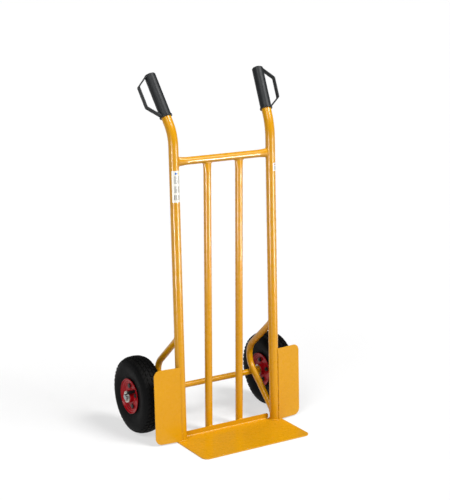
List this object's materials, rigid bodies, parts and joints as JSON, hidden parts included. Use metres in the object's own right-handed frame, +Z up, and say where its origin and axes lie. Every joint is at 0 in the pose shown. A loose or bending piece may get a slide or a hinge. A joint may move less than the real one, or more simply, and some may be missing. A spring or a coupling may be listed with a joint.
{
  "type": "hand truck",
  "caption": "Upright tubular hand truck for moving boxes: fixed toe plate, air-filled wheels on a fixed axle, wheel guard plates and moulded handgrips with knuckle guards.",
  "frame": {"origin": "on the floor under the toe plate, midway between the axes of the outer upright tubes where they meet the floor", "axes": "+X along the axle towards the right wheel, +Y from the toe plate back to the wheels, +Z up"},
  "size_m": [0.6306, 0.4635, 1.196],
  "materials": {
    "frame_powder_coat": "golden yellow powder coat over welded steel, soft gloss with fine orange peel",
    "rim_enamel": "glossy signal red enamel over pressed steel",
    "zinc_plate": "bright zinc plate, slightly dull",
    "black_steel": "black phosphate over steel, slightly oily",
    "bearing_steel": "ground steel races with dark seals",
    "tyre_rubber": "black rubber, satin sidewall and dull tread",
    "butyl_rubber": "thin black butyl",
    "valve_rubber": "black moulded rubber over brass",
    "cap_plastic": "black moulded cap",
    "grip_plastic": "dark grey moulded plastic with a fine grain",
    "label_vinyl": "white printed vinyl"
  },
  "bodies": {
    "root": {"axle": "frame_powder_coat", "axle_collar_left": "frame_powder_coat", "axle_collar_right": "frame_powder_coat", "axle_stay_left": "frame_powder_coat", "axle_stay_right": "frame_powder_coat", "grip_left": "grip_plastic", "grip_right": "grip_plastic", "info_label": "label_vinyl", "inner_upright_left": "frame_powder_coat", "inner_upright_right": "frame_powder_coat", "inner_washer_left": "zinc_plate", "inner_washer_right": "zinc_plate", "outer_washer_left": "zinc_plate", "outer_washer_right": "zinc_plate", "small_label": "label_vinyl", "split_pin_left": "zinc_plate", "split_pin_right": "zinc_plate", "toe_plate": "frame_powder_coat", "top_cross_tube": "frame_powder_coat", "upright_left": "frame_powder_coat", "upright_right": "frame_powder_coat", "wheel_guard_plate_left": "frame_powder_coat", "wheel_guard_plate_right": "frame_powder_coat"},
    "wheel_left": {"tyre_left": "tyre_rubber", "inner_tube_left": "butyl_rubber", "outer_rim_half_left": "rim_enamel", "inner_rim_half_left": "rim_enamel", "hub_left": "rim_enamel", "wheel_bearings_left": "bearing_steel", "rim_bolts_left": "black_steel", "rim_nuts_left": "black_steel", "valve_left": "valve_rubber", "valve_cap_left": "cap_plastic"},
    "wheel_right": {"tyre_right": "tyre_rubber", "inner_tube_right": "butyl_rubber", "outer_rim_half_right": "rim_enamel", "inner_rim_half_right": "rim_enamel", "hub_right": "rim_enamel", "wheel_bearings_right": "bearing_steel", "rim_bolts_right": "black_steel", "rim_nuts_right": "black_steel", "valve_right": "valve_rubber", "valve_cap_right": "cap_plastic"}
  },
  "joints": [
    {"name": "wheel_left_spin", "type": "hinge", "parent": "root", "child": "wheel_left", "pos_m": [-0.2593, 0.151, 0.13], "axis": [1, 0, 0], "continuous": true},
    {"name": "wheel_right_spin", "type": "hinge", "parent": "root", "child": "wheel_right", "pos_m": [0.2593, 0.151, 0.13], "axis": [1, 0, 0], "continuous": true}
  ]
}
